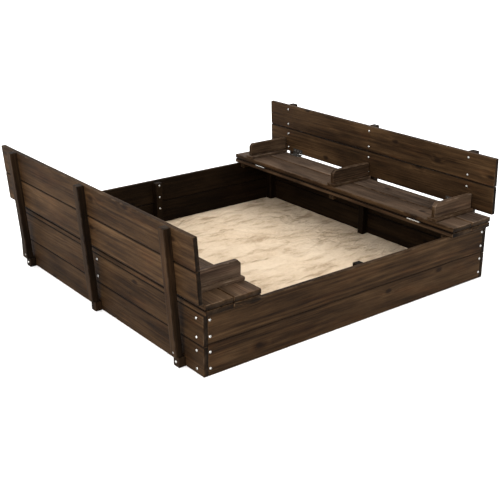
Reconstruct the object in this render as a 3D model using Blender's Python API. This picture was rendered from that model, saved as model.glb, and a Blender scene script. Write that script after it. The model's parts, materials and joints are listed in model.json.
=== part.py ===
"""Square wooden sandbox whose two-part cover folds open into a pair of facing benches.

Frame: origin on the ground at the centre of the box, +Z up, the low front wall towards -Y, the
benches along the left (-X) and right (+X) walls. Metres.

Each side of the cover has three leaves. The ledge is fixed on the box. The seat is hinged to the
ledge's inner edge and lies folded back on top of it. The backrest is hinged to the seat's rear
edge and stands up. To close the cover the seat turns over by half a turn while the backrest opens
out level with it, so that the three leaves reach the middle of the box.
"""

import math

import bmesh
import bpy
from mathutils import Matrix, Vector

# Box, outside sizes
BOX_WIDTH = 1.190
BOX_DEPTH = 1.168
WALL_HEIGHT = 0.1897
END_JOINT_HEIGHT = 0.098
SIDE_JOINT_HEIGHT = 0.093
BOARD = 0.016
FIT_GAP = 0.0003
PLANK_JOINT = 0.0006
POST = 0.028
END_CENTRE_POST_HEIGHT = 0.185
CENTRE_POST_SHIFT = {"front": 0.017, "back": -0.018, "left": 0.0, "right": -0.018}

# Cover leaves
LID_END_OVERHANG = 0.0125
LEDGE_WIDTH = 0.192
SEAT_WIDTH = 0.193
BACKREST_WIDTH = 0.198
LEAF_GAP = 0.002
LEFT_RECLINE = math.radians(4.2)
RIGHT_RECLINE = math.radians(-1.9)

# Battens and the foot blocks below them, cut from one strip, and the ledges' cleats
STRIP_WIDTH = 0.028
STRIP_THICK = 0.024
BATTEN_SPACING = 0.481
BATTEN_TIP = 0.0005
BATTEN_DROP = 0.1913
FOOT_HEIGHT = 0.032
CLEAT_WIDTH = 0.022
CLEAT_THICK = 0.016
CLEAT_SPACING = 0.5555
CLEAT_SETBACK = 0.004

# Armrests
ARMREST_SPACING = 0.502
ARMREST_THICK = 0.016
ARMREST_HEIGHT = 0.051
ARMREST_SETBACK = 0.006
ARMREST_CLIP = 0.011
BASE_STRIP_WIDTH = 0.040
BASE_STRIP_THICK = 0.011

# Hinges
HINGE_LENGTH = 0.056
HINGE_LEAF_REACH = 0.022
HINGE_LEAF_THICK = 0.0008
KNUCKLE_RADIUS = 0.0024
KNUCKLE_GAP = 0.0004
CENTRE_KNUCKLE_HALF = 0.0093
PIN_RADIUS = 0.0011
BORE_RADIUS = 0.0015
FOLD_LAYER_GAP = 0.0025
LEDGE_HINGE_EDGE = 0.0028
SEAT_HINGE_EDGE = 0.0025
SEAT_HINGE_RISE = 0.0028
LEDGE_HINGE_SPACING = 0.424
SEAT_HINGE_SPACING = 0.420
ROUND_SIDES = 10

# Sand and the liner below it
LINER_THICK = 0.0012
SAND_TOP = 0.0140

EDGE_BEVEL = 0.0018
JOIN_DEPTH = 0.002
HALF_WIDTH = BOX_WIDTH / 2
HALF_DEPTH = BOX_DEPTH / 2
LEDGE_BASE = 0.190
LEDGE_TOP = LEDGE_BASE + BOARD
LID_HALF_LENGTH = HALF_DEPTH + LID_END_OVERHANG
LEDGE_EDGE = -LEDGE_WIDTH
LEDGE_PIN = (LEDGE_EDGE - LEDGE_HINGE_EDGE, LEDGE_TOP + FOLD_LAYER_GAP / 2)
SEAT_BASE = LEDGE_TOP + FOLD_LAYER_GAP
SEAT_TOP = SEAT_BASE + BOARD
SEAT_REAR = LEDGE_EDGE + SEAT_WIDTH
SEAT_PIN = (SEAT_REAR + SEAT_HINGE_EDGE, SEAT_TOP + SEAT_HINGE_RISE)
BACK_FACE = SEAT_PIN[0] + SEAT_HINGE_RISE
BACK_FOOT = SEAT_PIN[1] + SEAT_HINGE_EDGE

SIDES = {"left": -1, "right": 1}
ROWS = {"near": -1, "middle": 0, "far": 1}

COLOURS = {
    "wood": ((0.060, 0.036, 0.022), 0.62, 0.0),
    "zinc": ((0.62, 0.63, 0.64), 0.32, 1.0),
    "sand": ((0.74, 0.62, 0.45), 0.95, 0.0),
    "liner": ((0.05, 0.05, 0.05), 0.90, 0.0),
}


def clear_scene():
    for item in list(bpy.data.objects):
        bpy.data.objects.remove(item, do_unlink=True)


def give_material(item, kind):
    colour, roughness, metallic = COLOURS[kind]
    material = bpy.data.materials.new(item.name + "_" + kind)
    material.use_nodes = True
    shader = material.node_tree.nodes["Principled BSDF"]
    shader.inputs["Base Color"].default_value = (*colour, 1.0)
    shader.inputs["Roughness"].default_value = roughness
    shader.inputs["Metallic"].default_value = metallic
    item.data.materials.append(material)


def add_object(name, mesh, kind, origin, parent=None):
    item = bpy.data.objects.new(name, mesh)
    bpy.context.scene.collection.objects.link(item)
    give_material(item, kind)
    item.location = Vector(origin)
    if parent is not None:
        item.parent = parent
        item.location = Vector(origin) - parent.location
    return item


def ease_edges(item):
    bevel = item.modifiers.new("eased edges", "BEVEL")
    bevel.width = EDGE_BEVEL
    bevel.segments = 1
    bevel.limit_method = "ANGLE"
    bevel.angle_limit = math.radians(30)


def finish_mesh(name, shape):
    bmesh.ops.recalc_face_normals(shape, faces=shape.faces)
    mesh = bpy.data.meshes.new(name)
    shape.to_mesh(mesh)
    shape.free()
    return mesh


def box_into(shape, low, high):
    """Adds a closed box between two opposite corners."""
    low, high = Vector(low), Vector(high)
    place = Matrix.Translation((low + high) / 2) @ Matrix.Diagonal((*(high - low), 1.0))
    bmesh.ops.create_cube(shape, size=1.0, matrix=place)


def board(name, low, high, parent=None, kind="wood"):
    """A straight piece of timber between two corners, with eased edges."""
    low = Vector(low)
    high = Vector(high)
    centre = (low + high) / 2
    shape = bmesh.new()
    box_into(shape, low - centre, high - centre)
    item = add_object(name, finish_mesh(name, shape), kind, centre, parent)
    ease_edges(item)
    return item


def joined_board(name, boxes, parent=None):
    """Timber made of a first box and smaller ones that are fixed to it, as one solid."""
    centre = (Vector(boxes[0][0]) + Vector(boxes[0][1])) / 2
    pieces = [temporary_box(Vector(low) - centre, Vector(high) - centre) for low, high in boxes]
    item = add_object(name, combined_mesh(pieces[0], pieces[1:]), "wood", centre, parent)
    ease_edges(item)
    return item


def slab(name, outline, bottom, top, kind):
    """A flat layer with the given outline in X and Y."""
    shape = bmesh.new()
    ring = [shape.verts.new((x, y, bottom)) for x, y in outline]
    base = shape.faces.new(ring)
    grown = bmesh.ops.extrude_face_region(shape, geom=[base])
    lifted = [part for part in grown["geom"] if isinstance(part, bmesh.types.BMVert)]
    bmesh.ops.translate(shape, verts=lifted, vec=(0, 0, top - bottom))
    bmesh.ops.triangulate(shape, faces=shape.faces)
    return add_object(name, finish_mesh(name, shape), kind, (0, 0, 0))


def side_box(side, out_low, out_high, y_low, y_high, z_low, z_high):
    """Corners of a box given by distances outwards from a side wall's outer face."""
    near = side * (HALF_WIDTH + out_low)
    far = side * (HALF_WIDTH + out_high)
    return (min(near, far), y_low, z_low), (max(near, far), y_high, z_high)


def side_point(side, out, y, z):
    return Vector((side * (HALF_WIDTH + out), y, z))


def temporary(shape):
    item = bpy.data.objects.new("temporary", finish_mesh("temporary", shape))
    bpy.context.scene.collection.objects.link(item)
    return item


def temporary_box(low, high):
    shape = bmesh.new()
    box_into(shape, low, high)
    return temporary(shape)


def temporary_rod(radius, y_low, y_high):
    """A round bar along Y on the pin's centre line."""
    shape = bmesh.new()
    turn = Matrix.Translation((0, (y_low + y_high) / 2, 0)) @ Matrix.Rotation(math.pi / 2, 4, "X")
    bmesh.ops.create_cone(
        shape, cap_ends=True, segments=ROUND_SIDES, radius1=radius, radius2=radius,
        depth=y_high - y_low, matrix=turn,
    )
    return temporary(shape)


def combined_mesh(base, additions, cut=None):
    """One closed mesh made of the base and its additions, less the cut."""
    for other in additions:
        join = base.modifiers.new("join", "BOOLEAN")
        join.operation = "UNION"
        join.object = other
    if cut is not None:
        bore = base.modifiers.new("bore", "BOOLEAN")
        bore.operation = "DIFFERENCE"
        bore.object = cut
    view = bpy.context.evaluated_depsgraph_get()
    mesh = bpy.data.meshes.new_from_object(base.evaluated_get(view))
    for item in [base, *additions] + ([cut] if cut is not None else []):
        bpy.data.objects.remove(item, do_unlink=True)
    return mesh


def leaf_mesh(offset, holds_pin):
    """A hinge leaf about its pin, which lies along Y: the plate runs out along +X from the pin and
    lies between two heights, offset and one thickness above it."""
    top = offset + HINGE_LEAF_THICK
    half = HINGE_LENGTH / 2
    clear = KNUCKLE_RADIUS + KNUCKLE_GAP
    outer = CENTRE_KNUCKLE_HALF + KNUCKLE_GAP
    spans = [(-half, -outer), (outer, half)] if holds_pin else [(-CENTRE_KNUCKLE_HALF, CENTRE_KNUCKLE_HALF)]
    plate = temporary_box((clear, -half, offset), (HINGE_LEAF_REACH, half, top))
    additions = []
    for y_low, y_high in spans:
        additions.append(temporary_box((0, y_low, offset), (clear + 0.001, y_high, top)))
        additions.append(temporary_rod(KNUCKLE_RADIUS, y_low, y_high))
    if holds_pin:
        additions.append(temporary_rod(PIN_RADIUS, -half + 0.001, half - 0.001))
        return combined_mesh(plate, additions)
    return combined_mesh(plate, additions, temporary_rod(BORE_RADIUS, -half, half))


def hinge_leaf(name, side, pin, y, reach_angle, offset, holds_pin, parent=None):
    """One leaf of a hinge. reach_angle turns the plate's direction about Y, from outwards towards
    up, on the right side of the box; the left side is its mirror image."""
    pin_place = side_point(side, pin[0], y, pin[1])
    mesh = leaf_mesh(offset, holds_pin)
    mesh.transform(Matrix.Diagonal((side, 1, 1, 1)) @ Matrix.Rotation(-reach_angle, 4, "Y"))
    shape = bmesh.new()
    shape.from_mesh(mesh)
    bpy.data.meshes.remove(mesh)
    return add_object(name, finish_mesh(name, shape), "zinc", pin_place, parent)


def axis_empty(name, side, pin, tilt=0.0):
    """An empty on a hinge's axis, which holds the leaf that turns about it."""
    empty = bpy.data.objects.new(name, None)
    bpy.context.scene.collection.objects.link(empty)
    empty.location = side_point(side, pin[0], 0, pin[1])
    empty.rotation_euler = (0, tilt, 0)
    return empty


def foot_blocks(side):
    """Short blocks fixed low on a side wall, under the lower ends of the backrest's battens."""
    blocks = []
    for row in ROWS.values():
        y_low = row * BATTEN_SPACING - STRIP_WIDTH / 2
        blocks.append(
            side_box(side, -JOIN_DEPTH, STRIP_THICK, y_low, y_low + STRIP_WIDTH, 0, FOOT_HEIGHT)
        )
    return blocks


def plank_heights(level, joint):
    """Bottom and top of a wall plank, for the height of the joint between the two."""
    if level == "lower":
        return 0.0, joint - PLANK_JOINT / 2
    return joint + PLANK_JOINT / 2, WALL_HEIGHT


def build_walls():
    """Two planks high on all four sides. The side planks cover the front and back planks' ends, and
    the lower side planks carry the foot blocks."""
    for level in ("lower", "upper"):
        bottom, top = plank_heights(level, END_JOINT_HEIGHT)
        reach = HALF_WIDTH - BOARD - FIT_GAP
        for end, sign in (("front", -1), ("back", 1)):
            faces = sorted((sign * HALF_DEPTH, sign * (HALF_DEPTH - BOARD)))
            name = f"{end}_wall_{level}_plank"
            board(name, (-reach, faces[0], bottom), (reach, faces[1], top))
        bottom, top = plank_heights(level, SIDE_JOINT_HEIGHT)
        for side_name, side in SIDES.items():
            boxes = [side_box(side, -BOARD, 0, -HALF_DEPTH, HALF_DEPTH, bottom, top)]
            if level == "lower":
                boxes += foot_blocks(side)
            joined_board(f"{side_name}_wall_{level}_plank", boxes)


def build_posts():
    """Square posts inside the corners and near the middle of each wall."""
    inside = BOARD + FIT_GAP
    for end, sign in (("front", -1), ("back", 1)):
        faces = sorted((sign * (HALF_DEPTH - inside), sign * (HALF_DEPTH - inside - POST)))
        for side_name, side in SIDES.items():
            low, high = side_box(side, -inside - POST, -inside, faces[0], faces[1], 0, WALL_HEIGHT)
            board(f"{end}_{side_name}_corner_post", low, high)
        low_x = CENTRE_POST_SHIFT[end] - POST / 2
        high = (low_x + POST, faces[1], END_CENTRE_POST_HEIGHT)
        board(f"{end}_centre_post", (low_x, faces[0], 0), high)
    for side_name, side in SIDES.items():
        low_y = CENTRE_POST_SHIFT[side_name] - POST / 2
        low, high = side_box(side, -inside - POST, -inside, low_y, low_y + POST, 0, WALL_HEIGHT)
        board(f"{side_name}_centre_post", low, high)


def build_ledges():
    """The cover's fixed leaves, each of two planks. The inner plank carries the cleats below, which
    reach under the outer plank."""
    plank = (LEDGE_WIDTH - LEAF_GAP) / 2
    cleat_outer = -BOARD - POST - 3 * FIT_GAP
    for side_name, side in SIDES.items():
        outer = side_box(
            side, -plank, 0, -LID_HALF_LENGTH, LID_HALF_LENGTH, LEDGE_BASE, LEDGE_TOP,
        )
        board(f"{side_name}_ledge_outer_plank", *outer)
        inner = [
            side_box(
                side, LEDGE_EDGE, LEDGE_EDGE + plank,
                -LID_HALF_LENGTH, LID_HALF_LENGTH, LEDGE_BASE, LEDGE_TOP,
            )
        ]
        for row in ROWS.values():
            y_low = row * CLEAT_SPACING - CLEAT_WIDTH / 2
            y_high = y_low + CLEAT_WIDTH
            top = LEDGE_BASE - FIT_GAP
            setback = LEDGE_EDGE + CLEAT_SETBACK
            inner.append(side_box(side, setback, cleat_outer, y_low, y_high, top - CLEAT_THICK, top))
            stem_high = LEDGE_EDGE + plank - CLEAT_SETBACK
            stem_top = LEDGE_BASE + JOIN_DEPTH
            inner.append(
                side_box(
                    side, setback + JOIN_DEPTH, stem_high,
                    y_low + JOIN_DEPTH, y_high - JOIN_DEPTH, top - JOIN_DEPTH, stem_top,
                )
            )
        joined_board(f"{side_name}_ledge_inner_plank", inner)


def inner_outline(gap):
    """The box's inside outline in X and Y, stepping around the corner and centre posts. Each wall
    is drawn looking outwards, from its right-hand corner post to its left-hand one."""
    wall = {"x": HALF_WIDTH - BOARD - gap, "y": HALF_DEPTH - BOARD - gap}
    post = {axis: reach - FIT_GAP - POST for axis, reach in wall.items()}
    half_post = POST / 2 + gap
    turns = (("right", "x", "y", 0), ("back", "y", "x", 1), ("left", "x", "y", 2), ("front", "y", "x", 3))
    outline = []
    for name, out_axis, along_axis, quarters in turns:
        turned = 1 if name in ("right", "front") else -1
        centre = turned * CENTRE_POST_SHIFT[name]
        low, high = centre - half_post, centre + half_post
        end = post[along_axis]
        wall_out, post_out = wall[out_axis], post[out_axis]
        points = [
            (wall_out, -end), (wall_out, low), (post_out, low), (post_out, high),
            (wall_out, high), (wall_out, end), (post_out, end),
        ]
        for _ in range(quarters):
            points = [(-y, x) for x, y in points]
        outline += points
    return outline


def build_sand():
    """A liner on the ground and the layer of play sand on it."""
    slab("ground_liner", inner_outline(2 * FIT_GAP), 0.0, LINER_THICK, "liner")
    slab("sand_fill", inner_outline(2 * FIT_GAP), LINER_THICK + FIT_GAP, SAND_TOP, "sand")


def armrest_board_piece(side, y, origin):
    """The upright board of an armrest, its top front corner clipped, let into the base strip."""
    front = LEDGE_EDGE + ARMREST_SETBACK
    bottom = SEAT_TOP + FIT_GAP + BASE_STRIP_THICK
    top = bottom + ARMREST_HEIGHT
    outline = [
        (front, bottom - JOIN_DEPTH), (SEAT_REAR - JOIN_DEPTH, bottom - JOIN_DEPTH),
        (SEAT_REAR - JOIN_DEPTH, top), (front + ARMREST_CLIP, top), (front, top - ARMREST_CLIP),
    ]
    shape = bmesh.new()
    ring = [
        shape.verts.new(side_point(side, out, y - ARMREST_THICK / 2, z) - origin)
        for out, z in outline
    ]
    grown = bmesh.ops.extrude_face_region(shape, geom=[shape.faces.new(ring)])
    moved = [part for part in grown["geom"] if isinstance(part, bmesh.types.BMVert)]
    bmesh.ops.translate(shape, verts=moved, vec=(0, ARMREST_THICK, 0))
    return temporary(shape)


def build_armrest(name, side, y, parent):
    """An upright board on a wider base strip that also ties the two seat planks together."""
    base_low = SEAT_TOP + FIT_GAP
    low, high = side_box(
        side, LEDGE_EDGE, SEAT_REAR, y - BASE_STRIP_WIDTH / 2, y + BASE_STRIP_WIDTH / 2,
        base_low, base_low + BASE_STRIP_THICK,
    )
    origin = side_point(side, (LEDGE_EDGE + SEAT_REAR) / 2, y, base_low)
    strip = temporary_box(Vector(low) - origin, Vector(high) - origin)
    mesh = combined_mesh(strip, [armrest_board_piece(side, y, origin)])
    ease_edges(add_object(name, mesh, "wood", origin, parent))


def build_seat(side_name, side):
    """The seat leaf with its armrests, folded back on the ledge."""
    axis = axis_empty(f"{side_name}_seat_axis", side, LEDGE_PIN)
    plank = (SEAT_WIDTH - LEAF_GAP) / 2
    spans = {
        "front": (LEDGE_EDGE, LEDGE_EDGE + plank),
        "rear": (SEAT_REAR - plank, SEAT_REAR),
    }
    for place, (low_out, high_out) in spans.items():
        low, high = side_box(
            side, low_out, high_out, -LID_HALF_LENGTH, LID_HALF_LENGTH, SEAT_BASE, SEAT_TOP
        )
        board(f"{side_name}_seat_{place}_plank", low, high, axis)
    for row_name, row in ROWS.items():
        build_armrest(f"{side_name}_{row_name}_armrest", side, row * ARMREST_SPACING, axis)
    return axis


def build_backrest(side_name, side, recline):
    """The backrest leaf with three battens, standing behind the seat."""
    axis = axis_empty(f"{side_name}_backrest_axis", side, SEAT_PIN, side * recline)
    plank = (BACKREST_WIDTH - LEAF_GAP) / 2
    top = BACK_FOOT + BACKREST_WIDTH
    spans = {"lower": (BACK_FOOT, BACK_FOOT + plank), "upper": (top - plank, top)}
    for place, (z_low, z_high) in spans.items():
        low, high = side_box(
            side, BACK_FACE, BACK_FACE + BOARD, -LID_HALF_LENGTH, LID_HALF_LENGTH, z_low, z_high
        )
        board(f"{side_name}_backrest_{place}_plank", low, high, axis)
    batten_face = BACK_FACE + BOARD + FIT_GAP
    batten_foot = SEAT_PIN[1] - BATTEN_DROP
    for row_name, row in ROWS.items():
        y_low = row * BATTEN_SPACING - STRIP_WIDTH / 2
        low, high = side_box(
            side, batten_face, batten_face + STRIP_THICK,
            y_low, y_low + STRIP_WIDTH, batten_foot, top + BATTEN_TIP,
        )
        board(f"{side_name}_{row_name}_batten", low, high, axis)
    return axis


def build_hinges(side_name, side, seat_axis, backrest_axis):
    """Butt hinges: two between ledge and seat, two between seat and backrest."""
    layer = FOLD_LAYER_GAP / 2 - FIT_GAP
    face = SEAT_HINGE_RISE - FIT_GAP
    outwards, upwards, inwards = 0, math.pi / 2, math.pi
    for row_name in ("near", "far"):
        y = ROWS[row_name] * LEDGE_HINGE_SPACING
        name = f"{side_name}_{row_name}_seat_hinge"
        hinge_leaf(f"{name}_fixed_leaf", side, LEDGE_PIN, y, outwards, -layer, True)
        hinge_leaf(
            f"{name}_moving_leaf", side, LEDGE_PIN, y, outwards,
            layer - HINGE_LEAF_THICK, False, seat_axis,
        )
        y = ROWS[row_name] * SEAT_HINGE_SPACING
        name = f"{side_name}_{row_name}_backrest_hinge"
        hinge_leaf(
            f"{name}_fixed_leaf", side, SEAT_PIN, y, inwards,
            face - HINGE_LEAF_THICK, True, seat_axis,
        )
        hinge_leaf(f"{name}_moving_leaf", side, SEAT_PIN, y, upwards, -face, False, backrest_axis)


def build():
    clear_scene()
    build_walls()
    build_posts()
    build_ledges()
    build_sand()
    reclines = {"left": LEFT_RECLINE, "right": RIGHT_RECLINE}
    for side_name, side in SIDES.items():
        seat_axis = build_seat(side_name, side)
        backrest_axis = build_backrest(side_name, side, reclines[side_name])
        build_hinges(side_name, side, seat_axis, backrest_axis)


build()
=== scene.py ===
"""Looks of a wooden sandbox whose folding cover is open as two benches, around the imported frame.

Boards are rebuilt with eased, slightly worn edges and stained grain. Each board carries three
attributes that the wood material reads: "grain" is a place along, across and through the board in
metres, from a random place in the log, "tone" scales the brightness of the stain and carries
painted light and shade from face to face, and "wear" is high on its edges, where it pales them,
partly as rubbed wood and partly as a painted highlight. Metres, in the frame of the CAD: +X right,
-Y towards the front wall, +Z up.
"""

import json
import math
import random

import bmesh
import bpy
import numpy as np
from mathutils import Matrix, Vector, noise


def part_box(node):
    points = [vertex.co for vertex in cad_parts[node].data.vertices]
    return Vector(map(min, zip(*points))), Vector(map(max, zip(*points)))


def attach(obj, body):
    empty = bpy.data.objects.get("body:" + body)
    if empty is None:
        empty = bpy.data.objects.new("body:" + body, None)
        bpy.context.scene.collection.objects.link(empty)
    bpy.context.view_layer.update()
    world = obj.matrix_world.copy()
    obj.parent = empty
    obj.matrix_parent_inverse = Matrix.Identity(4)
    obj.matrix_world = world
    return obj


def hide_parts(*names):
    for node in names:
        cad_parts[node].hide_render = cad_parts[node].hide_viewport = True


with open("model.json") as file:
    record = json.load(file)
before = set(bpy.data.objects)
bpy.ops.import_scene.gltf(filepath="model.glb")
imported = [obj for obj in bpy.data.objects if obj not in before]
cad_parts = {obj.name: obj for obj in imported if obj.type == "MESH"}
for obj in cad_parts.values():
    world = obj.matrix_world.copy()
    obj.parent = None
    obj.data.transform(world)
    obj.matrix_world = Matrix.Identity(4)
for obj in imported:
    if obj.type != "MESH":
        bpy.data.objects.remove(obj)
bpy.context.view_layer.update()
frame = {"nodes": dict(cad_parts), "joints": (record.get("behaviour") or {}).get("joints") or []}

SIDES = {"left": -1, "right": 1}
ENDS = {"front": -1, "back": 1}
LEVELS = ("lower", "upper")
ROWS = {"near": -1, "middle": 0, "far": 1}

# Sizes and spacings of what the CAD's nodes hold
HALF_WIDTH = 0.595
BOARD = 0.016
STRIP_WIDTH = 0.028
STRIP_THICK = 0.024
BATTEN_SPACING = 0.481
FOOT_HEIGHT = 0.032
LEDGE_EDGE = 0.192
LEDGE_PLANK = 0.095
CLEAT_WIDTH = 0.022
CLEAT_THICK = 0.016
CLEAT_SPACING = 0.5555
CLEAT_INNER = 0.188
CLEAT_OUTER = 0.0449
CLEAT_TOP = 0.1897
LEDGE_HINGE_SPACING = 0.424
SEAT_HINGE_SPACING = 0.420
BASE_STRIP_THICK = 0.011
ARMREST_THICK = 0.016
ARMREST_SETBACK = 0.006
ARMREST_CLIP = 0.011

# Hairline gaps where pieces touch
TOUCH_GAP = 0.0003
STRIP_GAP = 0.0001
POST_GAP = 0.0006

# Places of bolts and hinge screws, where a leaf's face is measured from the hinge's pin
CENTRE_BOLT_HEIGHTS = (0.080, 0.1275, 0.175)
END_BOLT_SETBACK = 0.0225
END_BOLT_HEIGHTS = (0.0235, 0.074, 0.1215, 0.172)
SIDE_BOLT_SETBACK = 0.033
SIDE_BOLT_HEIGHTS = (0.0165, 0.073, 0.114, 0.172)
LOWER_BOLT_INSET = 0.022
UPPER_BOLT_INSET = 0.018
BATTEN_BOLT_RISE = 0.014
BATTEN_BOLT_SINK = 0.0024
SCREW_SPACING = 0.018
SCREW_REACH = 0.013
LEDGE_LEAF_FACE = 0.00015
SEAT_LEAF_FACE = 0.0017

# Heads: bolts, screws that stand up, and screws between two leaves folded on each other
BOLT = {"radius": 0.0042, "height": 0.0026, "recess": "hexagon"}
RAISED_SCREW = {"radius": 0.0029, "height": 0.0006, "recess": "cross"}
FLUSH_SCREW = {"radius": 0.0029, "height": 0.00012, "recess": "cross"}
HEAD_SIDES = 24

# Board shape: rounded rims, a narrow row of faces beside each, and slightly uneven surfaces
EDGE_RADIUS = 0.0018
LEAST_RADIUS = 0.0003
ARC_STEPS = 3
RIM_STEP = 0.0025
ACROSS_STEP = 0.012
ALONG_STEP = 0.020
FACE_ROUGH = 0.00018
EDGE_ROUGH = 0.00045

# Brightness of the stained colour, where 1 is the outside of the walls. Much of the spread between
# faces is painted light and shade: painted shade on the inside faces of the walls, on the posts, the
# undersides, the battens' sides and the rims in joints and under overhangs, and painted light on the
# tops of the seats and on the ledges' edges. TINTS is the spread from board to board.
JOINT_SHADE_TONE = 0.35
END_JOINT_SHADE_TONE = 0.62
INSIDE_SHADE_TONE = 0.34
POST_SHADE_TONE = 0.26
FOOT_TONE = 0.40
CLEAT_TONE = 1.1
LEDGE_LIT_AND_SHADED_TONES = (1.0, 0.5, 1.7)
SEAT_TOP_LIGHT_TONES = {"left": 1.75, "right": 2.4}
SEAT_UNDER_SHADE_TONE = 0.7
SEAT_EDGE_TONE = 1.3
ARM_TONE = 1.9
OUTER_TONE = 1.22
BACK_TONE = 1.15
BACK_EDGE_TONE = 0.9
BATTEN_TONE = 0.85
BATTEN_SIDE_SHADE_TONE = 0.40
END_GRAIN_TONES = {"plain": 0.55, "side wall": 0.45, "seat": 0.4, "backrest": 0.25}
TINTS = (0.88, 1.14)

# Sand and liner. The sand's heights are shares of its depth, and its waves calm near a wall.
SAND_STEP = 0.0062
SAND_LEVEL = 0.62
SAND_FLOOR = 0.25
SAND_MEAN_WAVE = 0.14
SAND_EDGE_WAVE = 0.2
SAND_CALM_REACH = 0.075
LINER_STEP = 0.02
LINER_WAVE = 0.0002

# Camera and light
CAMERA_PLACE = (-1.8698, -2.4360, 1.2455)
CAMERA_TURN = (68.932, -0.024, -37.774)
CAMERA_LENS = 66.027
FLOOR_REACH = 14.0
FLOOR_DROP = 0.0005
WORLD_COLOUR = (1.0, 0.995, 0.985, 1)
WORLD_STRENGTH = 2.1
SUN_ENERGY = 0.35
SUN_SPREAD = 9
SUN_FROM = (0.28, 0.12, 1.0)
PANEL_ENERGY = 100.0
PANEL_SIZE = 1.8
PANEL_PLACE = (-3.4, -1.4, 1.6)
PANEL_AIM = (-0.3, -0.1, 0.2)

draws = random.Random(11)


# ---------------------------------------------------------------- materials


class Nodes:
    """Short calls for building a node material."""

    def __init__(self, name):
        self.material = bpy.data.materials.new(name)
        self.material.use_nodes = True
        self.tree = self.material.node_tree
        self.shader = self.tree.nodes["Principled BSDF"]

    def put(self, socket, value):
        if isinstance(value, bpy.types.NodeSocket):
            self.tree.links.new(value, socket)
        else:
            socket.default_value = value

    def add(self, kind, inputs=None, output=0, **settings):
        node = self.tree.nodes.new(kind)
        for key, value in settings.items():
            setattr(node, key, value)
        for key, value in (inputs or {}).items():
            self.put(node.inputs[key], value)
        return node.outputs[output]

    def attribute(self, name, output="Fac"):
        return self.add("ShaderNodeAttribute", output=output, attribute_name=name)

    def math(self, operation, a, b=0.0, c=0.0, clamp=False):
        return self.add(
            "ShaderNodeMath", {0: a, 1: b, 2: c}, operation=operation, use_clamp=clamp
        )

    def vector(self, operation, a, b=(0, 0, 0), output=0):
        return self.add("ShaderNodeVectorMath", {0: a, 1: b}, output, operation=operation)

    def noise(self, place, detail=2.0, roughness=0.5, output="Fac", dims="3D"):
        key = "W" if dims == "1D" else "Vector"
        inputs = {key: place, "Scale": 1.0, "Detail": detail, "Roughness": roughness}
        return self.add("ShaderNodeTexNoise", inputs, output, noise_dimensions=dims)

    def span(self, value, low, high, to_low=0.0, to_high=1.0, smooth=True):
        kind = "SMOOTHSTEP" if smooth else "LINEAR"
        inputs = {0: value, 1: low, 2: high, 3: to_low, 4: to_high}
        return self.add("ShaderNodeMapRange", inputs, interpolation_type=kind)

    def mix(self, factor, a, b, blend="MIX"):
        node = self.tree.nodes.new("ShaderNodeMix")
        node.data_type = "RGBA"
        node.blend_type = blend
        self.put(node.inputs[0], factor)
        self.put(node.inputs[6], a)
        self.put(node.inputs[7], b)
        return node.outputs[2]

    def ramp(self, value, stops):
        node = self.tree.nodes.new("ShaderNodeValToRGB")
        ramp = node.color_ramp
        while len(ramp.elements) < len(stops):
            ramp.elements.new(0.5)
        for element, (place, colour) in zip(ramp.elements, stops):
            element.position = place
            element.color = (*colour, 1.0)
        self.put(node.inputs[0], value)
        return node.outputs[0]

    def bump(self, height, strength, distance):
        normal = self.add(
            "ShaderNodeBump", {"Height": height, "Strength": strength, "Distance": distance}
        )
        self.put(self.shader.inputs["Normal"], normal)

    def set(self, **values):
        for key, value in values.items():
            self.put(self.shader.inputs[key.replace("_", " ")], value)


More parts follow.
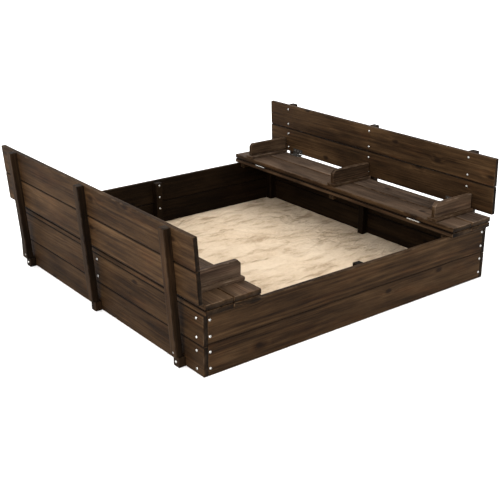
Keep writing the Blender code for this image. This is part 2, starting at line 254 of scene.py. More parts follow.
def stained_wood():
    """Softwood under a dark walnut stain: growth rings, fibres, knots, blotches, edges paled partly
    by rubbing and partly by a painted highlight, and a painted sheen that greys the brightest faces.
    """
    m = Nodes("stained_wood")
    grain = m.attribute("grain", "Vector")
    tone = m.attribute("tone")
    wear_and_highlight = m.attribute("wear_and_highlight")

    sway = m.noise(m.vector("MULTIPLY", grain, (1.5, 4.0, 4.0)), detail=2, output="Color")
    sway = m.vector("MULTIPLY", m.vector("SUBTRACT", sway, (0.5, 0.5, 0.5)), (0, 0.020, 0.020))
    cells = m.vector("MULTIPLY", grain, (4.2, 8.5, 0.0))
    bent = m.noise(m.vector("MULTIPLY", grain, (30, 60, 60)), detail=2, output="Color")
    bent = m.vector("MULTIPLY", m.vector("SUBTRACT", bent, (0.5, 0.5, 0.5)), (0.07, 0.07, 0.0))
    knot_node = m.tree.nodes.new("ShaderNodeTexVoronoi")
    knot_node.voronoi_dimensions = "2D"
    m.put(knot_node.inputs["Vector"], m.vector("ADD", cells, bent))
    m.put(knot_node.inputs["Scale"], 1.0)
    m.put(knot_node.inputs["Randomness"], 1.0)
    chosen = m.tree.nodes.new("ShaderNodeSeparateColor")
    m.put(chosen.inputs[0], knot_node.outputs["Color"])
    picked = m.math("GREATER_THAN", chosen.outputs[0], 0.68)
    reach = knot_node.outputs["Distance"]
    knot = m.math("MULTIPLY", m.span(reach, 0.030, 0.095, 1.0, 0.0), picked)
    halo = m.math("MULTIPLY", m.span(reach, 0.04, 0.22, 1.0, 0.0), picked)

    log_place = m.vector("MULTIPLY", m.vector("ADD", grain, sway), (0, 1, 1))
    ring = m.vector("LENGTH", log_place, output="Value")
    ring = m.math("MULTIPLY_ADD", halo, 0.006, ring)
    rings = m.noise(m.math("MULTIPLY", ring, 260.0), detail=1.5, dims="1D")
    rings = m.span(rings, 0.30, 0.70)
    streaks = m.noise(m.vector("MULTIPLY", grain, (2.6, 95, 95)), detail=5, roughness=0.62)
    fibres = m.noise(m.vector("MULTIPLY", grain, (14, 520, 520)), detail=3, roughness=0.65)
    blotch = m.noise(m.vector("MULTIPLY", grain, (3.2, 13, 13)), detail=4, roughness=0.6)
    warmth = m.noise(m.vector("MULTIPLY", grain, (5.0, 22, 22)), detail=3, roughness=0.6)

    shade = m.math("MULTIPLY", rings, 0.11)
    shade = m.math("MULTIPLY_ADD", streaks, 0.58, shade)
    shade = m.math("MULTIPLY_ADD", fibres, 0.55, shade)
    shade = m.math("MULTIPLY_ADD", blotch, 0.90, shade)
    shade = m.math("MULTIPLY_ADD", m.math("SUBTRACT", shade, 1.07), 1.45, 0.51)
    colour = m.ramp(
        shade,
        [
            (0.12, (0.0053, 0.0026, 0.0010)),
            (0.38, (0.0134, 0.0067, 0.0027)),
            (0.62, (0.0252, 0.0132, 0.0055)),
            (0.88, (0.0437, 0.0241, 0.0107)),
        ],
    )
    reddish = m.math("MULTIPLY", m.span(warmth, 0.50, 0.72), 0.55)
    colour = m.mix(reddish, colour, (1.12, 0.92, 0.78, 1), blend="MULTIPLY")
    colour = m.mix(m.math("MULTIPLY", knot, 0.85), colour, (0.0050, 0.0023, 0.0010, 1))
    # Paler patches along the edges: partly real rubbing and partly a painted highlight on the edges.
    patches = m.noise(m.vector("MULTIPLY", grain, (38, 38, 38)), detail=4, roughness=0.6)
    rubbed_and_highlit = m.math("MULTIPLY", m.span(patches, 0.42, 0.70), wear_and_highlight)
    colour = m.mix(m.math("MULTIPLY", rubbed_and_highlit, 0.45), colour, (0.072, 0.046, 0.027, 1))
    # Painted sheen: the faces given the most painted light lose some saturation, standing in for the
    # grey reflection of a bright sky.
    sheen_grey = m.span(tone, 1.5, 2.3, 1.0, 0.68, smooth=False)
    colour = m.add("ShaderNodeHueSaturation", {"Saturation": sheen_grey, "Color": colour})
    # The colour is scaled by the tone, which holds the painted light and shade of each face as well
    # as the board's tint.
    toned = m.add("ShaderNodeVectorMath", {0: colour, "Scale": tone}, operation="SCALE")
    rough = m.math("MULTIPLY_ADD", fibres, 0.20, 0.56)
    m.set(Base_Color=toned, Roughness=rough, Specular_IOR_Level=0.035)
    height = m.math("MULTIPLY_ADD", streaks, 0.6, fibres)
    height = m.math("MULTIPLY_ADD", rings, 0.25, height)
    height = m.math("MULTIPLY_ADD", knot, 0.4, height)
    m.bump(height, 0.6, 0.0009)
    return m.material


def zinc_plate():
    """Bright zinc plating with faint rolling lines and a few dull patches."""
    m = Nodes("zinc_plate")
    place = m.add("ShaderNodeTexCoord", output="Object")
    spots = m.noise(m.vector("MULTIPLY", place, (90, 90, 90)), detail=3, roughness=0.6)
    lines = m.noise(m.vector("MULTIPLY", place, (900, 60, 900)), detail=2)
    colour = m.ramp(spots, [(0.30, (0.28, 0.275, 0.26)), (0.62, (0.45, 0.44, 0.42))])
    rough = m.math("MULTIPLY_ADD", lines, 0.22, m.math("MULTIPLY", spots, 0.25))
    m.set(Base_Color=colour, Roughness=rough, Metallic=0.9)
    m.bump(lines, 0.25, 0.0002)
    return m.material


def dull_plate():
    """Zinc plate gone dark and dull, on the hinges behind the seats."""
    m = Nodes("dull_plate")
    place = m.add("ShaderNodeTexCoord", output="Object")
    spots = m.noise(m.vector("MULTIPLY", place, (120, 120, 120)), detail=4, roughness=0.65)
    colour = m.ramp(spots, [(0.35, (0.020, 0.017, 0.014)), (0.65, (0.050, 0.044, 0.038))])
    rough = m.math("MULTIPLY_ADD", spots, 0.3, 0.40)
    m.set(Base_Color=colour, Roughness=rough, Metallic=0.7)
    m.bump(spots, 0.3, 0.0002)
    return m.material


def play_sand():
    """Dry pinkish cream sand with single darker grains, painted shade in the hollows of its drifts
    and painted light on their ridges.
    """
    m = Nodes("play_sand")
    place = m.add("ShaderNodeTexCoord", output="Object")
    grains = m.noise(m.vector("MULTIPLY", place, (820, 820, 820)), detail=2, roughness=0.7)
    clumps = m.noise(m.vector("MULTIPLY", place, (60, 85, 85)), detail=5, roughness=0.7)
    slanted = m.add(
        "ShaderNodeMapping", {"Vector": place, "Rotation": (0, 0, 0.62), "Scale": (9, 26, 20)}
    )
    drifts = m.noise(slanted, detail=5, roughness=0.62)
    crests = m.math("ABSOLUTE", m.math("MULTIPLY_ADD", drifts, 2.0, -1.0))
    crests = m.math("SUBTRACT", 1.0, m.math("MULTIPLY", crests, 3.0), clamp=True)
    swells = m.noise(m.vector("MULTIPLY", place, (5, 8, 8)), detail=3, roughness=0.5)
    # Colour follows the drifts and ridges that also make the bump: painted shade in the hollows and
    # painted light on the ridges.
    shade = m.math("MULTIPLY_ADD", clumps, 0.35, m.math("MULTIPLY", drifts, 0.62))
    shade = m.math("MULTIPLY_ADD", swells, 0.55, shade)
    shade = m.math("MULTIPLY_ADD", crests, 0.12, shade)
    shade = m.math("MULTIPLY_ADD", grains, 0.16, shade)
    shade = m.math("MULTIPLY_ADD", m.math("SUBTRACT", shade, 0.87), 1.5, 0.56)
    colour = m.ramp(
        shade,
        [
            (0.30, (0.430, 0.310, 0.200)),
            (0.46, (0.545, 0.410, 0.276)),
            (0.62, (0.655, 0.510, 0.358)),
            (0.82, (0.730, 0.588, 0.430)),
        ],
    )
    m.set(Base_Color=colour, Roughness=0.95, Specular_IOR_Level=0.15)
    height = m.math("MULTIPLY_ADD", clumps, 1.6, grains)
    height = m.math("MULTIPLY_ADD", drifts, 7.0, height)
    height = m.math("MULTIPLY_ADD", crests, 1.2, height)
    m.bump(height, 1.0, 0.0040)
    return m.material


def woven_liner():
    """Black ground cloth of flat woven tapes."""
    m = Nodes("woven_liner")
    place = m.add("ShaderNodeTexCoord", output="Object")
    warp = m.add(
        "ShaderNodeTexWave", {"Vector": place, "Scale": 105.0, "Distortion": 0.5},
        output="Fac", bands_direction="X",
    )
    weft = m.add(
        "ShaderNodeTexWave", {"Vector": place, "Scale": 105.0, "Distortion": 0.5},
        output="Fac", bands_direction="Y",
    )
    weave = m.math("MAXIMUM", warp, weft)
    dust = m.noise(m.vector("MULTIPLY", place, (14, 14, 14)), detail=5, roughness=0.65)
    colour = m.ramp(dust, [(0.35, (0.022, 0.022, 0.023)), (0.75, (0.075, 0.068, 0.058))])
    m.set(Base_Color=colour, Roughness=m.math("MULTIPLY_ADD", weave, 0.2, 0.7))
    m.bump(weave, 0.5, 0.0006)
    return m.material


def studio_floor():
    m = Nodes("studio_floor")
    place = m.add("ShaderNodeTexCoord", output="Object")
    faint = m.noise(m.vector("MULTIPLY", place, (0.7, 0.7, 0.7)), detail=2)
    m.set(Base_Color=m.ramp(faint, [(0.0, (0.90,) * 3), (1.0, (0.93,) * 3)]), Roughness=0.85)
    return m.material


WOOD = stained_wood()
ZINC = zinc_plate()
DULL_ZINC = dull_plate()
SAND = play_sand()
LINER = woven_liner()


# ---------------------------------------------------------------- shared steps


def added(name, data):
    """A new object in the scene."""
    item = bpy.data.objects.new(name, data)
    bpy.context.scene.collection.objects.link(item)
    return item


def piece(name, mesh, material, body):
    item = added(name, mesh)
    mesh.materials.append(material)
    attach(item, body)
    return item


def skin(shape, rows):
    """Faces between closed rings of vertices, with a cap on the first ring and on the last."""
    for a, b in zip(rows, rows[1:]):
        for k in range(len(a)):
            n = (k + 1) % len(a)
            shape.faces.new((a[k], a[n], b[n], b[k]))
    shape.faces.new(rows[0])
    shape.faces.new(rows[-1])


def smooth_mesh(name, shape):
    """The mesh of a finished shape, smooth and with its faces turned outwards."""
    bmesh.ops.recalc_face_normals(shape, faces=shape.faces)
    mesh = bpy.data.meshes.new(name)
    shape.to_mesh(mesh)
    shape.free()
    mesh.shade_smooth()
    return mesh


# ---------------------------------------------------------------- boards


# A board's four long rims, by the faces that meet there
RIMS = ("high edge, high face", "low edge, high face", "low edge, low face", "high edge, low face")
TOP_OF_PLANK = (RIMS[0], RIMS[3])
FOOT_OF_PLANK = (RIMS[1], RIMS[2])
UNDERSIDE = (RIMS[2], RIMS[3])


def profile(half_width, half_thick, radius, count):
    """Points round a rounded rectangle: (width, thickness, outward pair, wear, face label). count
    is the number of steps across a wide face."""
    points = []
    faces = (("high edge", 1, 0), ("high face", 0, 1), ("low edge", -1, 0), ("low face", 0, -1))
    for number, (label, w_sign, t_sign) in enumerate(faces):
        if w_sign:
            reach = half_thick - radius
            flat = [-reach + RIM_STEP, 0.0, reach - RIM_STEP]
            flat = [value for value in flat if abs(value) < reach]
            flat = [(w_sign * half_width, w_sign * value) for value in flat]
        else:
            reach = half_width - radius
            ends = reach - RIM_STEP
            flat = [-ends + 2 * ends * k / count for k in range(count + 1)]
            flat = [(-t_sign * value, t_sign * half_thick) for value in flat]
        points += [(w, t, (w_sign, t_sign), 0.0, label) for w, t in flat]
        centre_w = (half_width - radius) * (1 if number in (0, 3) else -1)
        centre_t = (half_thick - radius) * (1 if number in (0, 1) else -1)
        for k in range(ARC_STEPS + 1):
            angle = math.pi / 2 * (number + k / ARC_STEPS)
            out = (math.cos(angle), math.sin(angle))
            spot = (centre_w + radius * out[0], centre_t + radius * out[1])
            points.append((*spot, out, 1.0, RIMS[number]))
    return points


def stations(length, radius, clip):
    """Places along a board with the ring's inset at each: close together at its eased ends, and
    one where a clipped corner starts."""
    ends = []
    for k in range(ARC_STEPS + 1):
        angle = math.pi / 2 * k / ARC_STEPS
        ends.append((radius * (1 - math.sin(angle)), radius * (1 - math.cos(angle))))
    start = radius + RIM_STEP
    count = max(1, round((length - 2 * start) / ALONG_STEP))
    middle = [(start + (length - 2 * start) * k / count, 0.0) for k in range(count + 1)]
    if clip:
        middle.append((clip, 0.0))
    far = [(length - s, inset) for s, inset in ends]
    return sorted(ends + middle + far)


def board(
    name, body, low, high, replaced, tones, dark=(), joint_tone=JOINT_SHADE_TONE, end_grain="plain",
    clip=0.0, flip=False, place=None,
):
    """An eased, stained board between two corners, which stands for the node that replaced names.
    tones are for its high face, its low face and its edges, and carry painted light and shade. dark
    names the rims that lie in a joint or under an overhang, and joint_tone scales theirs down as
    painted shade. end_grain chooses the tone of its ends. clip cuts one upper corner off, at the end
    that flip chooses. place moves it all."""
    low, high = np.array(low), np.array(high)
    size = high - low
    along, across, through = np.argsort(-size, kind="stable")
    length, half_width, half_thick = size[along], size[across] / 2, size[through] / 2
    centre = (low + high) / 2
    radius = min(EDGE_RADIUS, 0.4 * half_thick)
    offset = Vector((draws.uniform(0, 40), draws.uniform(-0.06, 0.06), draws.uniform(0.02, 0.07)))
    tint = draws.uniform(*TINTS)
    seed = Vector((draws.uniform(0, 50), draws.uniform(0, 50), 0))
    rows = []
    grains, tone_list, wear_and_highlight_list = [], [], []
    kinds = {"high face": tones[0], "low face": tones[1], "edge": tones[2]}
    shape = bmesh.new()
    count = max(2, round(2 * half_width / ACROSS_STEP))
    for s, inset in stations(length, radius, clip):
        lowered = max(0.0, clip - s)
        row = []
        half_lowered = half_width - inset - lowered / 2
        ring_radius = max(radius - inset, LEAST_RADIUS)
        ring = profile(half_lowered, half_thick - inset, ring_radius, count)
        for w, t, out, wear_and_highlight, label in ring:
            w -= lowered / 2
            spot = Vector((s * 22, w * 60, t * 60)) + seed
            fine = abs(noise.noise(spot)) + 0.5 * abs(noise.noise(spot * 2.7))
            depth = (EDGE_ROUGH if wear_and_highlight else FACE_ROUGH) * min(1.0, fine)
            w -= out[0] * depth
            t -= out[1] * depth
            point = np.array(centre)
            point[along] = high[along] - s if flip else low[along] + s
            point[across] += w
            point[through] += t
            row.append(shape.verts.new(point))
            grains.append((s + offset.x, w + offset.y, t + offset.z))
            ends = END_GRAIN_TONES[end_grain] if s <= 0 or s >= length else 1.0
            part = min(tone for key, tone in kinds.items() if key in label)
            # Rims in a joint or under an overhang: painted shade, and no pale edge.
            if label in dark:
                part, wear_and_highlight = part * joint_tone, 0.0
            tone_list.append(part * tint * ends)
            wear_and_highlight_list.append(wear_and_highlight if inset == 0 else 1.0)
        rows.append(row)
    skin(shape, rows)
    mesh = smooth_mesh(name, shape)
    if place is not None:
        mesh.transform(place)
    write_attribute(mesh, "grain", "FLOAT_VECTOR", "vector", grains)
    write_attribute(mesh, "tone", "FLOAT", "value", tone_list)
    write_attribute(mesh, "wear_and_highlight", "FLOAT", "value", wear_and_highlight_list)
    item = piece(name, mesh, WOOD, body)
    if replaced:
        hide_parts(replaced)


def write_attribute(mesh, name, kind, field, values):
    attribute = mesh.attributes.new(name, kind, "POINT")
    attribute.data.foreach_set(field, np.array(values, np.float32).ravel())


def side_box(side, out_low, out_high, y_low, y_high, z_low, z_high):
    """Corners of a box given by distances outwards from a side wall's outer face."""
    near, far = sorted((side * (HALF_WIDTH + out_low), side * (HALF_WIDTH + out_high)))
    return (near, y_low, z_low), (far, y_high, z_high)


def lean_of(side_name):
    """The turn from an upright backrest to this one, about its hinge's pin. The joint's range
    lays the backrest flat, and from upright that would be 90 degrees."""
    joint = next(j for j in frame["joints"] if j["name"] == f"{side_name}_backrest_hinge")
    lean = math.radians(90.0 - joint["range_deg"][1]) * SIDES[side_name]
    pin = Vector(joint["pos_m"])
    return Matrix.Translation(pin) @ Matrix.Rotation(lean, 4, "Y") @ Matrix.Translation(-pin)


def upright_box(node, lean):
    """Corners of a leaning node as it would stand upright."""
    back = lean.inverted()
    points = np.array([back @ vertex.co for vertex in frame["nodes"][node].data.vertices])
    return points.min(0), points.max(0)


def wall_tones(side, outer, inner, edges):
    """An upright board's tones, in the order that board takes them on this side of the box."""
    return (outer, inner, edges) if side > 0 else (inner, outer, edges)


def build_walls():
    end_rims = {"lower": TOP_OF_PLANK, "upper": FOOT_OF_PLANK}
    side_rims = {"lower": TOP_OF_PLANK, "upper": RIMS}
    for end, sign in ENDS.items():
        for level in LEVELS:
            node = f"{end}_wall_{level}_plank"
            # Inside faces darker as painted shade, and painted shade along the rims where the two
            # planks meet.
            board(
                f"{node}_board", "box", *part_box(node), node,
                wall_tones(sign, 1.0, INSIDE_SHADE_TONE, 1.0), end_rims[level], END_JOINT_SHADE_TONE,
            )
    for side_name, side in SIDES.items():
        for level in LEVELS:
            node = f"{side_name}_wall_{level}_plank"
            low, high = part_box(node)
            low.x, high.x = sorted((side * HALF_WIDTH, side * (HALF_WIDTH - BOARD)))
            # Inside faces darker as painted shade, and painted shade along the rims where the planks
            # meet and under the ledge.
            board(
                f"{node}_board", "box", low, high, node,
                wall_tones(side, 1.0, INSIDE_SHADE_TONE, 1.0), side_rims[level], end_grain="side wall",
            )
        for row_name, row in ROWS.items():
            y = row * BATTEN_SPACING
            corners = side_box(
                side, TOUCH_GAP, STRIP_THICK, y - STRIP_WIDTH / 2, y + STRIP_WIDTH / 2,
                0, FOOT_HEIGHT,
            )
            board(f"{side_name}_{row_name}_foot_block", "box", *corners, None, (FOOT_TONE,) * 3)


def build_posts():
    names = [f"{end}_{side}_corner_post" for end in ENDS for side in SIDES]
    names += [f"{wall}_centre_post" for wall in (*ENDS, *SIDES)]
    for node in names:
        # Posts darker on every face: painted shade inside the box.
        board(f"{node}_timber", "box", *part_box(node), node, (POST_SHADE_TONE,) * 3)


def build_ledges():
    for side_name, side in SIDES.items():
        for plank in ("inner", "outer"):
            node = f"{side_name}_ledge_{plank}_plank"
            low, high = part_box(node)
            low.z = high.z - BOARD
            if plank == "inner":
                edge = HALF_WIDTH - LEDGE_EDGE
                low.x, high.x = sorted((side * edge, side * (edge + LEDGE_PLANK)))
            # Underside darker as painted shade, edges lighter as painted light, and painted shade
            # along every rim.
            board(f"{node}_board", "box", low, high, node, LEDGE_LIT_AND_SHADED_TONES, RIMS)
        for row_name, row in ROWS.items():
            y = row * CLEAT_SPACING
            corners = side_box(
                side, -CLEAT_INNER, -CLEAT_OUTER, y - CLEAT_WIDTH / 2, y + CLEAT_WIDTH / 2,
                CLEAT_TOP - CLEAT_THICK, CLEAT_TOP,
            )
            board(f"{side_name}_{row_name}_ledge_cleat", "box", *corners, None, (CLEAT_TONE,) * 3)


def build_seats():
    for side_name, side in SIDES.items():
        body = f"{side_name}_seat"
        # Tops lighter as painted light, undersides darker as painted shade, and painted shade along
        # the lower rims.
        tones = (SEAT_TOP_LIGHT_TONES[side_name], SEAT_UNDER_SHADE_TONE, SEAT_EDGE_TONE)
        for plank in ("front", "rear"):
            node = f"{side_name}_seat_{plank}_plank"
            board(f"{node}_board", body, *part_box(node), node, tones, UNDERSIDE, end_grain="seat")
        for row_name in ROWS:
            node = f"{side_name}_{row_name}_armrest"
            low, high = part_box(node)
            split = low.z + BASE_STRIP_THICK
            strip_high = Vector((high.x, high.y, split))
            board(f"{node}_base_strip", body, low, strip_high, node, (ARM_TONE,) * 3)
            middle = (low.y + high.y) / 2
            board_low = Vector((low.x, middle - ARMREST_THICK / 2, split + STRIP_GAP))
            board_high = Vector((high.x, middle + ARMREST_THICK / 2, high.z))
            board_low.x += ARMREST_SETBACK if side > 0 else TOUCH_GAP
            board_high.x -= TOUCH_GAP if side > 0 else ARMREST_SETBACK
            board(
                f"{node}_board", body, board_low, board_high, node, (ARM_TONE,) * 3,
                clip=ARMREST_CLIP, flip=side < 0,
            )


def build_backrests():
    for side_name, side in SIDES.items():
        body = f"{side_name}_backrest"
        lean = lean_of(side_name)
        for level, rims in (("lower", RIMS), ("upper", FOOT_OF_PLANK)):
            node = f"{side_name}_backrest_{level}_plank"
            # Painted shade along the rims where the planks meet and along the lower plank's foot.
            board(
                f"{node}_board", body, *upright_box(node, lean), node,
                wall_tones(side, OUTER_TONE, BACK_TONE, BACK_EDGE_TONE), rims,
                end_grain="backrest", place=lean,
            )
        for row_name in ROWS:
            node = f"{side_name}_{row_name}_batten"
            # Battens' sides darker than their faces as painted shade.
            board(
                f"{node}_timber", body, *upright_box(node, lean), node,
                (BATTEN_TONE, BATTEN_TONE, BATTEN_SIDE_SHADE_TONE), place=lean,
            )


# ---------------------------------------------------------------- metal


def lathe_heads(name, places, body, radius, height, recess):
    """Round heads, each a polar grid with its driver recess pressed in, as one piece. places holds
    (centre on the surface, outward direction)."""
    shape = bmesh.new()
    rings = recess_rings(radius, height, recess)
    for centre, out in places:
        turn = Vector(out).to_track_quat("Z", "Y").to_matrix().to_4x4()
        spin = Matrix.Rotation(draws.uniform(0, math.tau), 4, "Z")
        whole = Matrix.Translation(Vector(centre)) @ turn @ spin
        rows = []
        for ring in rings:
            row = []
            for k in range(HEAD_SIDES):
                angle = math.tau * k / HEAD_SIDES
                r, z = ring(angle)
                point = Vector((r * math.cos(angle), r * math.sin(angle), z))
                row.append(shape.verts.new(whole @ point))
            rows.append(row)
        skin(shape, rows)
    mesh = smooth_mesh(name, shape)
    mesh.set_sharp_from_angle(angle=math.radians(42))
    piece(name, mesh, ZINC, body)


def hexagon(angle, flat):
    """Distance to a hexagon's side in a direction, for a distance flat to the middle of a side."""
    return flat / math.cos((angle + math.pi / 6) % (math.pi / 3) - math.pi / 6)


def cross_reach(angle, half_arm, half_slot):
    """Distance to the outline of a cross in a direction."""
    turn = angle % (math.pi / 2)
    turn = min(turn, math.pi / 2 - turn)
    if math.tan(turn) * half_arm <= half_slot:
        return half_arm / math.cos(turn)
    return half_slot / math.sin(turn)


def recess_rings(radius, height, recess):
    """Functions of angle that give each ring's distance from the axis and height."""
    rings = [lambda a: (radius, 0.0)]
    if recess == "hexagon":
        washer = 0.22 * height
        rings.append(lambda a: (radius, washer))
        for share, lift in ((0.93, 0.30), (0.88, 0.55), (0.74, 0.84), (0.56, 1.0)):
            rings.append(lambda a, share=share, lift=lift: (share * radius, lift * height))
        flat = 0.36 * radius
        rings.append(lambda a: (hexagon(a, flat) * 1.05, height))
        rings.append(lambda a: (hexagon(a, flat), 0.95 * height))
        rings.append(lambda a: (hexagon(a, flat) * 0.97, 0.35 * height))
        return rings
    rings.append(lambda a: (0.94 * radius, 0.72 * height))
    rings.append(lambda a: (0.78 * radius, height))
    arm, slot = 0.60 * radius, 0.17 * radius
    rings.append(lambda a: (cross_reach(a, arm, slot), height))
    rings.append(lambda a: (0.90 * cross_reach(a, arm, slot), 0.25 * height))
    return rings


def end_wall_heads(end, sign):
    """Four bolts at each end of the front or back wall, and three in its centre post."""
    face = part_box("back_wall_lower_plank")[1].y
    corner = HALF_WIDTH - END_BOLT_SETBACK
    post_low, post_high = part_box(f"{end}_centre_post")
    post_face = post_high.y if sign < 0 else post_low.y
    post_x = (post_low.x + post_high.x) / 2
    heads = [((x, sign * face, z), (0, sign, 0)) for x in (-corner, corner) for z in END_BOLT_HEIGHTS]
    return heads + [((post_x, post_face, z), (0, -sign, 0)) for z in CENTRE_BOLT_HEIGHTS]


def side_wall_heads(side_name, side):
    """Four bolts at each end of a side wall, two at its centre post, one in each outer foot."""
    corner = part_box("back_wall_lower_plank")[1].y - SIDE_BOLT_SETBACK
    post_low, post_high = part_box(f"{side_name}_centre_post")
    post_y = (post_low.y + post_high.y) / 2
    face = side * HALF_WIDTH
    foot_face = side * (HALF_WIDTH + STRIP_THICK)
    spots = [(face, y, z) for y in (-corner, corner) for z in SIDE_BOLT_HEIGHTS]
    spots += [(face, post_y, z) for z in SIDE_BOLT_HEIGHTS[2:]]
    spots += [
        (foot_face, ROWS[row] * BATTEN_SPACING, FOOT_HEIGHT / 2) for row in ("near", "far")
    ]
    return [(spot, (side, 0, 0)) for spot in spots]


def backrest_heads(side_name, side):
    """Two bolts in each plank at each batten, and one in the foot of each outer batten."""
    lean = lean_of(side_name)
    turn = lean.to_3x3()
    heads = []
    for row_name, row in ROWS.items():
        y = row * BATTEN_SPACING
        for level, inset in (("lower", LOWER_BOLT_INSET), ("upper", UPPER_BOLT_INSET)):
            low, high = upright_box(f"{side_name}_backrest_{level}_plank", lean)
            face = low[0] if side > 0 else high[0]
            for z in (low[2] + UPPER_BOLT_INSET, high[2] - inset):
                heads.append((lean @ Vector((face, y, z)), turn @ Vector((-side, 0, 0))))
        if row_name != "middle":
            low, high = upright_box(f"{side_name}_{row_name}_batten", lean)
            face = (high[0] if side > 0 else low[0]) - side * BATTEN_BOLT_SINK
            spot = lean @ Vector((face, y, low[2] + BATTEN_BOLT_RISE))
            heads.append((spot, turn @ Vector((side, 0, 0))))
    return heads


def build_bolts():
    for end, sign in ENDS.items():
        lathe_heads(f"{end}_wall_bolts", end_wall_heads(end, sign), "box", **BOLT)
    for side_name, side in SIDES.items():
        heads = side_wall_heads(side_name, side)
        lathe_heads(f"{side_name}_wall_bolts", heads, "box", **BOLT)
        heads = backrest_heads(side_name, side)
        lathe_heads(f"{side_name}_backrest_bolts", heads, f"{side_name}_backrest", **BOLT)


def plate_hinges():
    """Zinc on the ledge hinges, and dull zinc on those behind the seats."""
    for name, item in frame["nodes"].items():
        if name.endswith("_leaf"):
            item.data.materials.clear()
            item.data.materials.append(DULL_ZINC if "backrest" in name else ZINC)


def build_hinge_screws():
    """Three screws in each leaf. At the ledge the two leaves of a hinge lie on each other."""
    pins = {joint["name"]: Vector(joint["pos_m"]) for joint in frame["joints"]}
    for side_name, side in SIDES.items():
        lean = lean_of(side_name)
        turn = lean.to_3x3()
        ledge_pin = pins[f"{side_name}_seat_hinge"]
        seat_pin = pins[f"{side_name}_backrest_hinge"]
        out = side * SCREW_REACH
        fixed, folded, seat, back = [], [], [], []
        for row in (-1, 1):
            for k in (-1, 0, 1):
                x, y = ledge_pin.x + out, row * LEDGE_HINGE_SPACING + k * SCREW_SPACING
                fixed.append(((x, y, ledge_pin.z - LEDGE_LEAF_FACE), (0, 0, 1)))
                folded.append(((x, y, ledge_pin.z + LEDGE_LEAF_FACE), (0, 0, -1)))
                y = row * SEAT_HINGE_SPACING + k * SCREW_SPACING
                seat.append(((seat_pin.x - out, y, seat_pin.z - SEAT_LEAF_FACE), (0, 0, 1)))
                spot = Vector((seat_pin.x + side * SEAT_LEAF_FACE, y, seat_pin.z + SCREW_REACH))
                back.append((lean @ spot, turn @ Vector((-side, 0, 0))))
        for name, heads, body, screw in (
            ("ledge_hinge", fixed, "box", FLUSH_SCREW),
            ("seat_front_hinge", folded, f"{side_name}_seat", FLUSH_SCREW),
            ("seat_rear_hinge", seat, f"{side_name}_seat", RAISED_SCREW),
            ("backrest_hinge", back, f"{side_name}_backrest", RAISED_SCREW),
        ):
            lathe_heads(f"{side_name}_{name}_screws", heads, body, **screw)


# ---------------------------------------------------------------- sand and liner


def lines_between(marks, step):
    """Grid lines through every mark, no further apart than step."""
    lines = []
    for a, b in zip(marks, marks[1:]):
        count = max(1, math.ceil((b - a) / step))
        lines += [a + (b - a) * k / count for k in range(count)]
    return lines + [marks[-1]]


def layer(name, node, step, top_of):
    """A closed flat-bottomed layer that fills the box between its walls, cut out round the posts.
    top_of gives its height at a place."""
    low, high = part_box(node)
    holes = []
    for post in frame["nodes"]:
        if post.endswith("_post"):
            a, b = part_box(post)
            holes.append((a.x - POST_GAP, b.x + POST_GAP, a.y - POST_GAP, b.y + POST_GAP))
    marks_x = sorted({low.x, high.x, *[x for h in holes for x in h[:2] if low.x < x < high.x]})
    marks_y = sorted({low.y, high.y, *[y for h in holes for y in h[2:] if low.y < y < high.y]})
    xs, ys = lines_between(marks_x, step), lines_between(marks_y, step)
    shape = bmesh.new()
    made = {}

    def corner(i, j, upper):
        key = (i, j, upper)
        if key not in made:
            x, y = xs[i], ys[j]
            made[key] = shape.verts.new((x, y, top_of(x, y) if upper else low.z))
        return made[key]

    def kept(i, j):
        if not (0 <= i < len(xs) - 1 and 0 <= j < len(ys) - 1):
            return False
        x, y = (xs[i] + xs[i + 1]) / 2, (ys[j] + ys[j + 1]) / 2
        return not any(a < x < b and c < y < d for a, b, c, d in holes)

    for i in range(len(xs) - 1):
        for j in range(len(ys) - 1):
            if not kept(i, j):
                continue
            around = [(i, j), (i + 1, j), (i + 1, j + 1), (i, j + 1)]
            shape.faces.new([corner(a, b, True) for a, b in around])
            shape.faces.new([corner(a, b, False) for a, b in reversed(around)])
            beyond = [(i, j - 1), (i + 1, j), (i, j + 1), (i - 1, j)]
            for k, (a, b) in enumerate(beyond):
                if not kept(a, b):
                    p, q = around[k], around[(k + 1) % 4]
                    shape.faces.new(
                        (corner(*p, False), corner(*q, False), corner(*q, True), corner(*p, True))
                    )
    mesh = smooth_mesh(name, shape)
    mesh.set_sharp_from_angle(angle=math.radians(60))
    return mesh


def build_sand():
    low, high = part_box("sand_fill")
    span = high.z - low.z

    def surface(x, y):
        dunes = noise.noise(Vector((x * 3.1 + 4, y * 6.5, 0.3)))
        lumps = noise.noise(Vector((x * 9 + y * 3, y * 17, 5.1)))
        bend = noise.noise(Vector((x * 5, y * 5, 7.7)))
        ripples = abs(math.sin(38 * (0.58 * x + 0.81 * y) + 7 * bend))
        small = abs(noise.noise(Vector((x * 26, y * 42 + x * 9, 9.7))))
        waves = 0.22 * dunes + 0.28 * lumps + 0.34 * ripples - 0.24 * small - SAND_MEAN_WAVE
        from_wall = min(x - low.x, high.x - x, y - low.y, high.y - y)
        calm = min(1.0, SAND_EDGE_WAVE + from_wall / SAND_CALM_REACH)
        return low.z + span * min(1.0, max(SAND_FLOOR, SAND_LEVEL + calm * waves))

    mesh = layer("raked_sand", "sand_fill", SAND_STEP, surface)
    item = piece("raked_sand", mesh, SAND, "box")
    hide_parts("sand_fill")


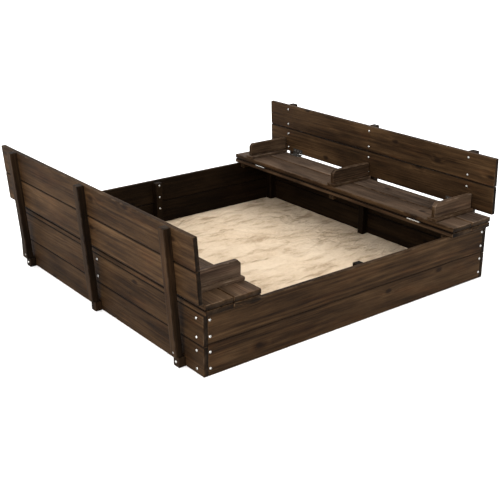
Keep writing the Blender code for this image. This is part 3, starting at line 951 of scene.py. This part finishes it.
def build_liner():
    low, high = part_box("ground_liner")

    def top(x, y):
        return high.z - LINER_WAVE * abs(noise.noise(Vector((x * 12, y * 12, 1))))

    mesh = layer("woven_ground_cloth", "ground_liner", LINER_STEP, top)
    item = piece("woven_ground_cloth", mesh, LINER, "box")
    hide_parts("ground_liner")


# ---------------------------------------------------------------- camera, light and floor


def build_camera():
    view = bpy.data.cameras.new("camera")
    view.lens = CAMERA_LENS
    view.sensor_width = 36.0
    camera = added("camera", view)
    camera.location = CAMERA_PLACE
    camera.rotation_euler = [math.radians(turn) for turn in CAMERA_TURN]
    bpy.context.scene.camera = camera
    bpy.context.scene.view_settings.view_transform = "Standard"


def build_floor():
    mesh = bpy.data.meshes.new("floor")
    corners = [(-1, -1), (1, -1), (1, 1), (-1, 1)]
    mesh.from_pydata([(x * FLOOR_REACH, y * FLOOR_REACH, 0) for x, y in corners], [], [(0, 1, 2, 3)])
    mesh.materials.append(studio_floor())
    floor = added("floor", mesh)
    floor.location.z = -FLOOR_DROP


def build_light():
    """A bright even room, a faint sun from above, and a panel beyond the left backrest."""
    world = bpy.data.worlds.new("soft_white")
    world.use_nodes = True
    world.node_tree.nodes["Background"].inputs[0].default_value = WORLD_COLOUR
    world.node_tree.nodes["Background"].inputs[1].default_value = WORLD_STRENGTH
    bpy.context.scene.world = world

    sun = bpy.data.lights.new("overhead", "SUN")
    sun.energy = SUN_ENERGY
    sun.angle = math.radians(SUN_SPREAD)
    top_light = added("overhead", sun)
    top_light.rotation_euler = Vector(SUN_FROM).to_track_quat("Z", "Y").to_euler()

    panel = bpy.data.lights.new("left_panel", "AREA")
    panel.energy = PANEL_ENERGY
    panel.size = PANEL_SIZE
    side_light = added("left_panel", panel)
    side_light.location = PANEL_PLACE
    aim = Vector(PANEL_AIM) - side_light.location
    side_light.rotation_euler = aim.to_track_quat("-Z", "Y").to_euler()


build_camera()
build_floor()
build_light()
build_walls()
build_posts()
build_ledges()
build_seats()
build_backrests()
build_bolts()
plate_hinges()
build_hinge_screws()
build_sand()
build_liner()
